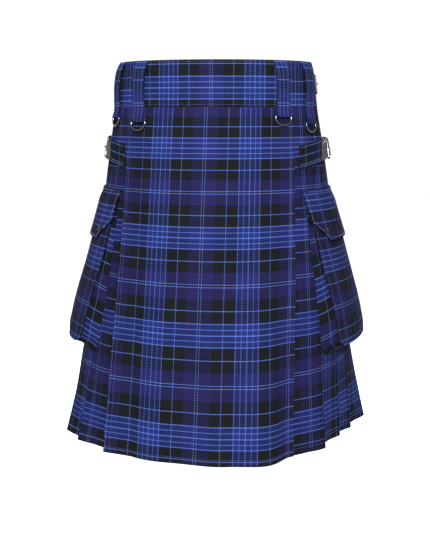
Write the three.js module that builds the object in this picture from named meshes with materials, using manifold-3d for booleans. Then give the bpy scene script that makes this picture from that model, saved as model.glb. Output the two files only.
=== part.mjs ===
// A utility kilt: apron, knife pleats, bellows pockets, belt loops with D-rings, buckled leather straps.
// Millimetres. +Z is up, the apron faces -Y, and +X is the wearer's left. Z = 0 is the waistband's top edge.
import * as THREE from 'three';
import Module from 'manifold-3d';
import { mergeVertices } from 'three/addons/utils/BufferGeometryUtils.js';

const wasm = await Module();
wasm.setup();

// Driving sizes
const kiltLength = 610;
const bandHeight = 71;
const cloth = 1.4;          // one layer of cloth
const doubledCloth = 2.4;   // cloth turned in and stitched double
const leather = 2.4;
const seamGap = 0.3;        // between pieces sewn together
const layerGap = 0.7;       // between layers that lie on each other

// Heights of the layers above the body, measured along the outward normal
const underOut = 0;
const pleatBase = underOut + cloth + layerGap;
const pleatStep = cloth + 0.4;             // from one layer of a pleat to the next
const pleatTop = pleatBase + 2 * pleatStep + cloth;
const apronOut = pleatBase + cloth + layerGap;
const bandOut = apronOut;
const bandThick = 2.8;
const bandTop = bandOut + bandThick;

// The body that the kilt hangs on: half width, depth to the front and back, and where it is widest
const sections = [
  { z: 0, halfWidth: 146.5, front: 110, back: 111, widest: 0 },
  { z: -18, halfWidth: 151, front: 112, back: 114, widest: 0 },
  { z: -71, halfWidth: 157, front: 116, back: 119, widest: 0 },
  { z: -125, halfWidth: 166, front: 124, back: 130, widest: 5 },
  { z: -200, halfWidth: 178, front: 136, back: 145, widest: 15 },
  { z: -340, halfWidth: 199, front: 157, back: 167, widest: 38 },
  { z: -480, halfWidth: 221, front: 177, back: 188, widest: 62 },
  { z: -610, halfWidth: 239, front: 194, back: 204, widest: 82 },
];
const backSquareness = 0.84;

// Broad waves of the hanging cloth: place as a share of the half girth, half width, depth at the hem, start
const hangWaves = [
  { name: 'front dip', at: -0.055, halfWidth: 70, depth: -7, startZ: -150 },
  { name: 'apron ridge', at: 0.125, halfWidth: 52, depth: 9, startZ: -200 },
  { name: 'apron tuck', at: 0.215, halfWidth: 60, depth: -11, startZ: -200 },
  { name: 'left hollow', at: 0.4, halfWidth: 150, depth: -22, startZ: -380 },
  { name: 'right swell', at: -0.41, halfWidth: 150, depth: 19, startZ: -280 },
  { name: 'seat swell left', at: 0.68, halfWidth: 130, depth: 11, startZ: -300 },
  { name: 'seat swell right', at: -0.74, halfWidth: 120, depth: 6, startZ: -250 },
];

// Apron: edges as arc length from the centre front, at the waist seam and at the hem
const apron = { leftTop: -138, leftHem: -168, rightTop: 134, rightHem: 148 };
const flare = { depth: 15, width: 44, power: 1.25, startZ: -190 };   // how the apron's left edge stands off
const underApron = { leftTop: -134, leftHem: -140, rightTop: 131, rightHem: 128, hemLift: 6 };

// Knife pleats on each side, counted from the apron to the centre back
const pleats = {
  count: 9,
  firstTop: 176,
  firstHem: { '-1': 238, '1': 216 },
  tuck: 24,                 // what the first panel runs in under the apron
  riseWidth: 3,             // how far behind its fold a pleat reaches its full height
  climb: 0.55,              // share of that height half way along the panel
  foldTop: 15,
  foldHem: 30,
  openFrom: -478,           // below this the pleats stand open
  openHem: 9,
};
const pleatSway = [0, 7, -5, 4, -3, 6, -4, 3, 0];

// Side pockets
const pocket = {
  share: 0.483,             // centre, as a share of the half girth
  width: 182,
  topZ: -222,
  faceBottomZ: -448,
  footBottomZ: -465,
  cornerRadius: 24,
  footSpreadTop: 2,
  footSpreadBottom: 13,
  creaseDepth: 4,
  crown: 1.6,
  crownRise: 50,            // length below the mouth over which the crown comes up
};
const pocketStand = [
  { z: -200, out: 2 },
  { z: -240, out: 5.5 },
  { z: -280, out: 10 },
  { z: -340, out: 17.5 },
  { z: -400, out: 24 },
  { z: -440, out: 25 },
  { z: -480, out: 21 },
];
const flap = {
  topZ: -199,
  cornerZ: -247,
  bottomZ: -279,
  width: 194,
  chamfer: 34,
  sewnDepth: 24,            // how far it lies on the pleats before it rises over the bag
  rest: 0.6,
  lift: 1.6,
};
const stud = { radius: 6, height: 2.6, inset: 24, z: -262 };
const studProfile = [
  { radius: 0, height: 0 },
  { radius: 0.92, height: 0 },
  { radius: 1, height: 0.3 },
  { radius: 0.8, height: 0.75 },
  { radius: 0.35, height: 1 },
  { radius: 0, height: 1 },
];

// Belt loops: arc length from the centre front, z of the ring's bar, how far the foot leans to the apron
const loopWidth = 23;
const loops = [
  { name: 'front_right', at: -114, barZ: -92, lean: 4.5, ring: true },
  { name: 'front_left', at: 113, barZ: -84, lean: 3, ring: true },
  { name: 'side_right', at: -170, barZ: -86, lean: 6.5, ring: true },
  { name: 'side_left', at: 167, barZ: -95, lean: 6.5, ring: true },
  { name: 'back_right', at: -348, barZ: -90, lean: 0, ring: false },
  { name: 'back_left', at: 348, barZ: -90, lean: 0, ring: false },
];
const leanDepth = 100;       // depth at which a loop has its full lean
const ring = { wire: 1.6, halfWidth: 14.2, drop: 15, clearance: 0.35, corner: 0.88 };

// How far a loop bulges off the waistband's face, from its top edge down to below the band
const loopBulge = [
  { z: -1.5, off: 2 },
  { z: -9, off: 4.8 },
  { z: -24, off: 7 },
  { z: -42, off: 7.4 },
  { z: -60, off: 6.2 },
  { z: -76, off: 3.6 },
];

// Straps, chapes and buckles: arc length along the body from the centre front. A hip strap starts on its tab.
const hipTab = { start: 143, end: { '-1': 192, 1: 206 }, height: 36, z: -143, slope: 0.16, lift: 1.2 };
const hipTabLift = doubledCloth + seamGap + 2;
const strapSets = [
  {
    name: 'waist', z: -33, height: 31, start: { '-1': 206, 1: 206 }, buckle: 262, base: bandTop,
    raised: 0, slope: 0,
  },
  {
    name: 'hip', z: -141, height: 31, start: { '-1': 182, 1: 196 }, buckle: 246, base: pleatTop,
    raised: hipTabLift, slope: 0.1,
  },
];
const buckleShape = { wire: 1.7, halfLength: 11, corner: 2.6, overhang: 0.6, clearance: 0.4 };
const prongShape = { wire: 1.3, root: 1.95, rootHalfWidth: 1.6, hole: 2.4, slot: 3, chapeSlot: 3.4 };
const strapTail = 34;
const strapInset = 2.2;      // what the strap is narrower than the buckle on each side
const chapeLength = 40;
const chapeInset = 3.8;
const chapeReturn = 15;      // what turns back over the inner bar

const studSides = 14;
const wireSides = 8;
const holeSides = 12;

const tartan = { color: 0x2a2c5e, roughness: 0.85, metalness: 0 };
const hide = { color: 0x2b2727, roughness: 0.6, metalness: 0 };
const steel = { color: 0x9a9ca0, roughness: 0.3, metalness: 1 };

const group = new THREE.Group();

function addPiece(name, geometry, finish) {
  const mesh = new THREE.Mesh(geometry, new THREE.MeshStandardMaterial(finish));
  mesh.name = name;
  group.add(mesh);
}

const mix = (a, b, share) => a + (b - a) * share;
const clamp01 = (value) => Math.min(1, Math.max(0, value));
const soften = (value) => clamp01(value) ** 2 * (3 - 2 * clamp01(value));
const downShare = (z, fromZ) => clamp01((fromZ - z) / (fromZ + kiltLength));
const sideName = (side) => (side < 0 ? 'right' : 'left');

// A smooth curve through one column of a table whose rows go down in z
function columnAt(rows, column, z) {
  const last = rows.length - 1;
  let row = 0;
  while (row < last - 1 && z < rows[row + 1].z) row += 1;
  const slopeAt = (index) => {
    const before = rows[Math.max(0, index - 1)];
    const after = rows[Math.min(last, index + 1)];
    return (after[column] - before[column]) / (after.z - before.z);
  };
  const span = rows[row + 1].z - rows[row].z;
  const t = clamp01((z - rows[row].z) / span);
  const t2 = t * t;
  const t3 = t2 * t;
  return (2 * t3 - 3 * t2 + 1) * rows[row][column]
    + (t3 - 2 * t2 + t) * span * slopeAt(row)
    + (3 * t2 - 2 * t3) * rows[row + 1][column]
    + (t3 - t2) * span * slopeAt(row + 1);
}

// Half of the body's outline at one height, from the centre front to the centre back, by arc length
const outlines = new Map();
const outlineSteps = 360;

function outlineAt(z) {
  if (outlines.has(z)) return outlines.get(z);
  const [halfWidth, front, back, widest] = ['halfWidth', 'front', 'back', 'widest']
    .map((column) => columnAt(sections, column, z));
  const points = [];
  let arc = 0;
  for (let step = 0; step <= outlineSteps; step += 1) {
    const angle = (Math.PI * step) / outlineSteps;
    const ahead = Math.cos(angle);
    const across = Math.max(0, Math.sin(angle));
    const power = ahead > 0 ? 1 : backSquareness;
    const x = halfWidth * across ** power;
    const y = ahead > 0 ? widest - (front + widest) * ahead
      : widest + (back - widest) * Math.abs(ahead) ** power;
    if (step > 0) arc += Math.hypot(x - points[step - 1].x, y - points[step - 1].y);
    points.push({ x, y, arc });
  }
  const outline = { points, half: arc };
  outlines.set(z, outline);
  return outline;
}

const halfGirth = (z) => outlineAt(z).half;

// Point and outward direction on the body, s being the arc length from the centre front, positive to +X
function bodySpot(s, z) {
  const { points, half } = outlineAt(z);
  let along = s;
  if (along > half) along -= 2 * half;
  if (along < -half) along += 2 * half;
  const side = along < 0 ? -1 : 1;
  const target = Math.abs(along);
  let low = 0;
  let high = outlineSteps;
  while (high - low > 1) {
    const middle = (low + high) >> 1;
    if (points[middle].arc <= target) low = middle;
    else high = middle;
  }
  const share = (target - points[low].arc) / (points[high].arc - points[low].arc);
  const before = points[Math.max(0, low - 2)];
  const after = points[Math.min(outlineSteps, high + 2)];
  const length = Math.hypot(after.x - before.x, after.y - before.y);
  const nearEnd = low < 3 || high > outlineSteps - 3;
  const normal = nearEnd
    ? { x: 0, y: low < 3 ? -1 : 1 }
    : { x: (after.y - before.y) / length, y: -(after.x - before.x) / length };
  return {
    x: side * mix(points[low].x, points[high].x, share),
    y: mix(points[low].y, points[high].y, share),
    normalX: side * normal.x,
    normalY: normal.y,
  };
}

function waveLift(s, z) {
  const half = halfGirth(z);
  let along = s;
  if (along > half) along -= 2 * half;
  if (along < -half) along += 2 * half;
  return hangWaves.reduce((total, wave) => {
    const distance = Math.abs(along - wave.at * half) / wave.halfWidth;
    if (distance >= 1) return total;
    const height = downShare(z, wave.startZ) ** 1.3;
    return total + wave.depth * height * 0.5 * (1 + Math.cos(Math.PI * distance));
  }, 0);
}

function place(s, out, z) {
  const spot = bodySpot(s, z);
  const reach = out + waveLift(s, z);
  return new THREE.Vector3(spot.x + spot.normalX * reach, spot.y + spot.normalY * reach, z);
}

// One closed mesh from its corner points and faces, turned so that the faces point out
function closedMesh(points, triangles) {
  let volume = 0;
  for (const [a, b, c] of triangles) {
    volume += points[a].dot(new THREE.Vector3().crossVectors(points[b], points[c]));
  }
  const order = volume < 0 ? triangles.map(([a, b, c]) => [a, c, b]) : triangles;
  const geometry = new THREE.BufferGeometry();
  geometry.setAttribute('position', new THREE.Float32BufferAttribute(points.flatMap((p) => p.toArray()), 3));
  geometry.setIndex(order.flat());
  geometry.computeVertexNormals();
  return geometry;
}

// A wall between two sheets of points, sheet[column][row]
function wall(outside, inside) {
  const columns = outside.length;
  const rows = outside[0].length;
  const points = [...outside.flat(), ...inside.flat()];
  const at = (sheet, column, row) => sheet * columns * rows + column * rows + row;
  const triangles = [];
  const quad = (a, b, c, d) => triangles.push([a, b, c], [a, c, d]);
  for (let column = 0; column < columns - 1; column += 1) {
    for (let row = 0; row < rows - 1; row += 1) {
      quad(at(0, column, row), at(0, column + 1, row), at(0, column + 1, row + 1), at(0, column, row + 1));
      quad(at(1, column, row), at(1, column, row + 1), at(1, column + 1, row + 1), at(1, column + 1, row));
    }
    quad(at(0, column, 0), at(1, column, 0), at(1, column + 1, 0), at(0, column + 1, 0));
    const end = rows - 1;
    quad(at(0, column, end), at(0, column + 1, end), at(1, column + 1, end), at(1, column, end));
  }
  for (let row = 0; row < rows - 1; row += 1) {
    quad(at(0, 0, row), at(0, 0, row + 1), at(1, 0, row + 1), at(1, 0, row));
    const end = columns - 1;
    quad(at(0, end, row), at(1, end, row), at(1, end, row + 1), at(0, end, row + 1));
  }
  return closedMesh(points, triangles);
}

// A wall lying on the body: edges and heights are functions of z
function panel({ left, right, columns, heights, out, thick }) {
  const sheet = (shift) => Array.from({ length: columns + 1 }, (_, column) => heights.map((z) => {
    const s = mix(left(z), right(z), column / columns);
    return place(s, out(s, z) + shift, z);
  }));
  return wall(sheet(thick), sheet(0));
}

const evenly = (from, to, count) => Array.from({ length: count + 1 }, (_, i) => mix(from, to, i / count));

// Shifts a flat path sideways by a distance, with mitred corners
function shiftPath(path, distance) {
  return path.map((point, index) => {
    const before = path[Math.max(0, index - 1)];
    const after = path[Math.min(path.length - 1, index + 1)];
    const inAngle = Math.atan2(point[1] - before[1], point[0] - before[0]);
    const outAngle = Math.atan2(after[1] - point[1], after[0] - point[0]);
    const first = index === 0 ? outAngle : inAngle;
    const second = index === path.length - 1 ? inAngle : outAngle;
    let turn = second - first;
    if (turn > Math.PI) turn -= 2 * Math.PI;
    if (turn < -Math.PI) turn += 2 * Math.PI;
    const middle = first + turn / 2 + Math.PI / 2;
    const reach = distance / Math.cos(turn / 2);
    return [point[0] + reach * Math.cos(middle), point[1] + reach * Math.sin(middle)];
  });
}

// A strip that follows a flat path; toPoint takes a path point and a place across the strip
function strip(path, thick, acrossAt, toPoint) {
  const sheet = (line) => line.map((point, index) => acrossAt(index).map((across) => toPoint(point, across)));
  return wall(sheet(shiftPath(path, thick / 2)), sheet(shiftPath(path, -thick / 2)));
}

// A round wire along points that lie in one plane
function wire(points, planeNormal, radius, sides, closed) {
  const count = points.length;
  const corners = [];
  points.forEach((point, index) => {
    const before = points[closed ? (index + count - 1) % count : Math.max(0, index - 1)];
    const after = points[closed ? (index + 1) % count : Math.min(count - 1, index + 1)];
    const along = after.clone().sub(before).normalize();
    const across = new THREE.Vector3().crossVectors(planeNormal, along).normalize();
    for (let side = 0; side < sides; side += 1) {
      const angle = (2 * Math.PI * side) / sides;
      corners.push(point.clone()
        .addScaledVector(across, radius * Math.cos(angle))
        .addScaledVector(planeNormal, radius * Math.sin(angle)));
    }
  });
  const triangles = [];
  for (let index = 0; index < (closed ? count : count - 1); index += 1) {
    for (let side = 0; side < sides; side += 1) {
      const next = (index + 1) % count;
      const turn = (side + 1) % sides;
      const [a, b] = [index * sides + side, index * sides + turn];
      const [c, d] = [next * sides + turn, next * sides + side];
      triangles.push([a, b, c], [a, c, d]);
    }
  }
  if (!closed) {
    const end = (count - 1) * sides;
    for (let side = 1; side < sides - 1; side += 1) {
      triangles.push([0, side + 1, side], [end, end + side, end + side + 1]);
    }
  }
  return closedMesh(corners, triangles);
}

// Cutting and joining
function solidOf(geometry) {
  const bare = geometry.clone();
  bare.deleteAttribute('normal');
  bare.deleteAttribute('uv');
  const merged = mergeVertices(bare);
  const vertProperties = new Float32Array(merged.attributes.position.array);
  const triVerts = new Uint32Array(merged.index.array);
  return new wasm.Manifold(new wasm.Mesh({ numProp: 3, vertProperties, triVerts }));
}

function geometryOf(solid) {
  const { vertProperties, triVerts } = solid.getMesh();
  const geometry = new THREE.BufferGeometry();
  geometry.setAttribute('position', new THREE.BufferAttribute(vertProperties, 3));
  geometry.setIndex(new THREE.BufferAttribute(triVerts, 1));
  geometry.computeVertexNormals();
  return geometry;
}

// Front apron and under apron
const skirtTop = -bandHeight - seamGap;
const skirtHeights = [skirtTop, -150, -230, -310, -390, -472, -520, -566, -kiltLength];
const underHeights = [skirtTop, -150, -310, -390, -520, -kiltLength + underApron.hemLift];
const edgeAt = (top, hem) => (z) => mix(top, hem, clamp01((skirtTop - z) / (kiltLength + skirtTop)));
const apronLeft = edgeAt(apron.leftTop, apron.leftHem);
const apronRight = edgeAt(apron.rightTop, apron.rightHem);

function apronFlare(s, z) {
  const fromEdge = clamp01((apronLeft(z) + flare.width - s) / flare.width);
  return flare.depth * downShare(z, flare.startZ) ** 1.2 * fromEdge ** flare.power;
}

function buildAprons() {
  addPiece('front_apron', panel({
    left: apronLeft,
    right: apronRight,
    columns: 24,
    heights: skirtHeights,
    out: (s, z) => apronOut + apronFlare(s, z),
    thick: cloth,
  }), tartan);
  addPiece('under_apron', panel({
    left: edgeAt(underApron.leftTop, underApron.leftHem),
    right: edgeAt(underApron.rightTop, underApron.rightHem),
    columns: 20,
    heights: underHeights,
    out: () => underOut,
    thick: cloth,
  }), tartan);
}

// Outside and inside corners of one side's pleated cloth at a height, folded as a flat Z three layers deep
function pleatLines(side, z) {
  const half = halfGirth(z);
  const down = clamp01((skirtTop - z) / (kiltLength + skirtTop));
  const fold = mix(pleats.foldTop, pleats.foldHem, down);
  const open = pleats.openHem * downShare(z, pleats.openFrom) ** 1.4;
  const first = mix(pleats.firstTop, pleats.firstHem[side], down);
  const lastEdge = half - seamGap;
  const apronEdge = Math.abs(side < 0 ? apronLeft(z) : apronRight(z));
  const [low, middle, high] = [0, 1, 2].map((layer) => pleatBase + layer * pleatStep);
  const tucked = evenly(apronEdge - pleats.tuck, apronEdge + 1, 3);
  const outside = tucked.map((s) => [s, low + cloth]);
  const inside = tucked.map((s) => [s, low]);
  let from = apronEdge + 1;
  for (let index = 0; index < pleats.count; index += 1) {
    const sway = pleatSway[index] * down * side;
    const edge = mix(first, lastEdge, index / (pleats.count - 1)) + sway;
    const risen = edge - fold - pleats.riseWidth;
    const climb = mix(from, risen, 0.5);
    const lower = edge - cloth;
    const back = edge - fold;
    const innerOpen = open * (1 - cloth / fold);
    outside.push(
      [climb, mix(low, high, pleats.climb) + cloth],
      [risen, high + cloth],
      [edge, high + cloth + open],
      [edge, middle + open],
      [back + cloth, middle + open * (cloth / fold)],
      [back + cloth, low + cloth],
    );
    inside.push(
      [climb, mix(low, high, pleats.climb)],
      [risen, high],
      [lower, high + innerOpen],
      [lower, middle + cloth + innerOpen],
      [back, middle + cloth],
      [back, low],
    );
    const next = Math.min(edge + 1, half - seamGap / 2);
    outside.push([next, low + cloth]);
    inside.push([next, low]);
    from = next;
  }
  return { outside, inside };
}

function buildPleats() {
  for (const side of [-1, 1]) {
    const lines = skirtHeights.map((z) => pleatLines(side, z));
    const sheet = (which) => lines[0][which].map((_, column) => skirtHeights.map((z, row) => {
      const [s, out] = lines[row][which][column];
      return place(side * s, out, z);
    }));
    addPiece(`pleats_${sideName(side)}`, wall(sheet('outside'), sheet('inside')), tartan);
  }
}

// Waistband: a front piece between the front loops, a piece round each side to the centre back, and
// the under apron's own band inside
function buildWaistband() {
  const heights = [-0.5, -18, -44, -bandHeight];
  const piece = (name, left, right, columns, layer) => addPiece(`waistband_${name}`, panel({
    left, right, columns, heights, out: () => layer.out, thick: layer.thick,
  }), tartan);
  const outer = { out: bandOut, thick: bandThick };
  const inner = { out: underOut, thick: doubledCloth };
  const halfGap = seamGap / 2;
  const [rightSeam, leftSeam] = [loops[0].at, loops[1].at];
  piece('front', () => rightSeam + halfGap, () => leftSeam - halfGap, 16, outer);
  piece('left', () => leftSeam + halfGap, (z) => halfGirth(z) - halfGap, 22, outer);
  piece('right', (z) => -halfGirth(z) + halfGap, () => rightSeam - halfGap, 22, outer);
  piece('under', () => underApron.leftTop, () => underApron.rightTop, 18, inner);
}

// Belt loops, flat across, in a frame that stands square to the body at the loop
function loopFrame({ at, lean }) {
  const spot = bodySpot(at, -bandHeight);
  const normal = new THREE.Vector3(spot.normalX, spot.normalY, 0).normalize();
  const across = new THREE.Vector3(-normal.y, normal.x, 0);
  const alongAt = (z) => (at * halfGirth(z)) / halfGirth(-bandHeight)
    - Math.sign(at) * lean * clamp01(-z / leanDepth);
  const toPoint = ([out, z], sideways) => place(alongAt(z), 0, z)
    .addScaledVector(normal, out)
    .addScaledVector(across, sideways);
  return { normal, across, toPoint };
}

function ringBar(loop) {
  const under = Math.abs(loop.at) < Math.abs(apron.rightTop) ? apronOut + cloth : pleatTop;
  const hook = ring.wire + ring.clearance + cloth / 2;
  return { out: under + seamGap + cloth / 2 + hook, z: loop.barZ, hook, under };
}

function buildLoop(loop) {
  const { toPoint } = loopFrame(loop);
  const bar = ringBar(loop);
  const path = loopBulge.map(({ z, off }) => [bandTop + off, z]);
  const foot = path[path.length - 1];
  foot[0] = Math.max(foot[0], bar.out + 1);
  if (loop.ring) {
    for (const degrees of [0, 45, 90, 135, 180]) {
      const angle = (degrees * Math.PI) / 180;
      path.push([bar.out + bar.hook * Math.cos(angle), bar.z - bar.hook * Math.sin(angle)]);
    }
    path.push([bar.out - bar.hook, bar.z + 7]);
  } else {
    const lying = bar.under + 3 * seamGap + cloth / 2;
    path.push([lying + 0.3, bar.z + 6], [lying, bar.z]);
  }
  const across = [-loopWidth / 2, 0, loopWidth / 2];
  addPiece(`loop_${loop.name}`, strip(path, cloth, () => across, toPoint), tartan);
}

function buildRing(loop) {
  const { normal, across, toPoint } = loopFrame(loop);
  const bar = ringBar(loop);
  const centre = toPoint([bar.out, bar.z], 0);
  const lower = toPoint([0, bar.z - ring.drop], 0).sub(toPoint([0, bar.z], 0));
  const lean = Math.atan2(lower.dot(normal), ring.drop);
  const down = new THREE.Vector3(0, 0, -Math.cos(lean)).addScaledVector(normal, Math.sin(lean));
  const facing = new THREE.Vector3().crossVectors(across, down).normalize();
  const outline = [[-ring.corner, 0], [0, 0], [ring.corner, 0]];
  const arcSteps = 14;
  for (let step = 0; step <= arcSteps; step += 1) {
    const angle = (Math.PI * step) / arcSteps;
    outline.push([Math.cos(angle), 1 - ring.corner * (1 - Math.sin(angle) ** 0.8)]);
  }
  const points = outline.map(([sideways, drop]) => centre.clone()
    .addScaledVector(across, sideways * ring.halfWidth)
    .addScaledVector(down, drop * ring.drop));
  addPiece(`ring_${loop.name}`, wire(points, facing, ring.wire, wireSides, true), steel);
}

// Pockets: a wedge-shaped bellows bag, with a face, a gusset folded round it, and a flap
const pocketCentre = (z) => pocket.share * halfGirth(z);
const standAt = (z) => pleatTop + columnAt(pocketStand, 'out', z);
const crownAt = (z) => pocket.crown * clamp01((pocket.topZ - z) / pocket.crownRise);

function cornerInset(z, bottomZ) {
  const above = z - bottomZ;
  if (above >= pocket.cornerRadius) return 0;
  const rise = pocket.cornerRadius - above;
  return pocket.cornerRadius - Math.sqrt(Math.max(0, pocket.cornerRadius ** 2 - rise ** 2));
}

function pocketFaceHeights() {
  const { topZ, faceBottomZ, cornerRadius } = pocket;
  const curve = [1, 0.6, 0.3, 0.1, 0].map((share) => faceBottomZ + cornerRadius * share);
  return [topZ, ...evenly(-240, faceBottomZ + cornerRadius + 26, 5), ...curve];
}

function buildPocketFace(side) {
  const heights = pocketFaceHeights();
  const reach = (z) => pocket.width / 2 - cornerInset(z, pocket.faceBottomZ);
  const crown = (s, z) => crownAt(z) * (1 - ((Math.abs(s) - pocketCentre(z)) / (pocket.width / 2)) ** 2);
  addPiece(`pocket_face_${sideName(side)}`, panel({
    left: (z) => side * pocketCentre(z) - reach(z),
    right: (z) => side * pocketCentre(z) + reach(z),
    columns: 12,
    heights,
    out: (s, z) => standAt(z) + Math.max(0, crown(s, z)),
    thick: cloth,
  }), tartan);
}

// The bag's outline from the front mouth corner down, along the bottom and up the back, spread at the foot
function pocketOutline(bottomZ, spreadTop, spreadBottom) {
  const { topZ, cornerRadius, width } = pocket;
  const points = [];
  const straight = evenly(topZ, bottomZ + cornerRadius, 6);
  const arc = evenly(0, Math.PI / 2, 4).slice(1);
  const spreadAt = (z) => mix(spreadTop, spreadBottom, clamp01((topZ - z) / (topZ - bottomZ)));
  for (const z of straight) points.push([-(width / 2 + spreadAt(z)), z]);
  const centre = width / 2 + spreadBottom - cornerRadius;
  for (const angle of arc) {
    points.push([-(centre + cornerRadius * Math.cos(angle)), bottomZ + cornerRadius * (1 - Math.sin(angle))]);
  }
  for (const share of [0.78, 0.56, 0.34, 0.12]) points.push([-centre * share, bottomZ]);
  return [...points, ...points.map(([s, z]) => [-s, z]).reverse()];
}

function buildPocketGusset(side) {
  const faceLine = pocketOutline(pocket.faceBottomZ, 0, 0);
  const footLine = pocketOutline(pocket.footBottomZ, pocket.footSpreadTop, pocket.footSpreadBottom);
  const lineAt = (share, shift) => {
    const crease = pocket.creaseDepth * Math.sin(Math.PI * share);
    const line = faceLine.map(([s, z], index) => {
      const [footS, footZ] = footLine[index];
      return [mix(footS, s, share), mix(footZ, z, share)];
    });
    const creased = shiftPath(line, crease + shift);
    return creased.map(([s, z], index) => [s, index === 0 || index === line.length - 1 ? line[index][1] : z]);
  };
  const sheet = (shift) => {
    const lines = [0, 0.5, 1].map((share) => ({ share, line: lineAt(share, shift) }));
    return faceLine.map((_, index) => lines.map(({ share, line }) => {
      const [s, z] = line[index];
      const foot = pleatTop + seamGap;
      const faceZ = Math.max(faceLine[index][1], pocket.faceBottomZ);
      const out = mix(foot, standAt(faceZ) - 2 * seamGap, share);
      return place(side * pocketCentre(z) + s, out, z);
    }));
  };
  addPiece(`pocket_gusset_${sideName(side)}`, wall(sheet(0), sheet(cloth)), tartan);
}

const flapStand = (z) => {
  const down = clamp01((flap.topZ - z) / (flap.topZ - pocket.topZ));
  const rest = flap.rest + flap.lift * clamp01((pocket.topZ - z) / (pocket.topZ - flap.bottomZ));
  return mix(pleatTop + seamGap, standAt(z) + cloth + crownAt(z) + rest, soften(down));
};

function buildFlap(side) {
  const { topZ, cornerZ, bottomZ, width, chamfer } = flap;
  const sewn = topZ - flap.sewnDepth;
  const heights = [...evenly(topZ, sewn, 3), ...evenly(mix(sewn, cornerZ, 0.5), cornerZ, 1),
    ...evenly(mix(cornerZ, bottomZ, 0.5), bottomZ, 1)];
  const reach = (z) => width / 2 - chamfer * clamp01((cornerZ - z) / (cornerZ - bottomZ));
  addPiece(`pocket_flap_${sideName(side)}`, panel({
    left: (z) => side * pocketCentre(z) - reach(z),
    right: (z) => side * pocketCentre(z) + reach(z),
    columns: 12,
    heights,
    out: (s, z) => flapStand(z),
    thick: doubledCloth,
  }), tartan);
  for (const [index, end] of [-1, 1].entries()) {
    const s = side * pocketCentre(stud.z) + side * end * (width / 2 - stud.inset);
    buildStud(`stud_${sideName(side)}_${index === 0 ? 'front' : 'rear'}`, s, stud.z);
  }
}

function buildStud(name, s, z) {
  const out = flapStand(z) + doubledCloth + 2 * seamGap;
  const base = place(s, out, z);
  const outward = place(s, out + stud.radius, z).sub(base);
  const [above, under] = [z + stud.radius, z - stud.radius]
    .map((height) => place(s, flapStand(height), height));
  const below = under.sub(above);
  const across = new THREE.Vector3().crossVectors(outward, below);
  const facing = new THREE.Vector3().crossVectors(below, across).normalize();
  const profile = studProfile
    .map((row) => new THREE.Vector2(row.radius * stud.radius, row.height * stud.height));
  const geometry = mergeVertices(cleaned(new THREE.LatheGeometry(profile, studSides)));
  const turn = new THREE.Quaternion().setFromUnitVectors(new THREE.Vector3(0, 1, 0), facing);
  geometry.applyQuaternion(turn);
  geometry.translate(base.x, base.y, base.z);
  addPiece(name, geometry, steel);
}

function cleaned(geometry) {
  geometry.deleteAttribute('normal');
  geometry.deleteAttribute('uv');
  const merged = mergeVertices(geometry, 1e-4);
  const index = merged.index.array;
  const kept = [];
  for (let i = 0; i < index.length; i += 3) {
    const [a, b, c] = [index[i], index[i + 1], index[i + 2]];
    if (a !== b && b !== c && a !== c) kept.push(a, b, c);
  }
  merged.setIndex(kept);
  return merged;
}

// Hip tabs of doubled cloth, sewn on behind the apron's edge, with the leather strap on their ends
function buildHipTab(side) {
  const { start, height, z, slope, lift } = hipTab;
  const end = hipTab.end[side];
  const path = evenly(0, 1, 4).map((share) => [
    mix(start, end, share),
    pleatTop + seamGap + doubledCloth / 2 + lift * share ** 2,
  ]);
  const rise = (s) => z + slope * (s - mix(start, end, 0.5));
  const toPoint = ([s, out], across) => place(side * s, out, rise(s) + across);
  const across = [-height / 2, 0, height / 2];
  addPiece(`hip_tab_${sideName(side)}`, strip(path, doubledCloth, () => across, toPoint), tartan);
}

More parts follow.
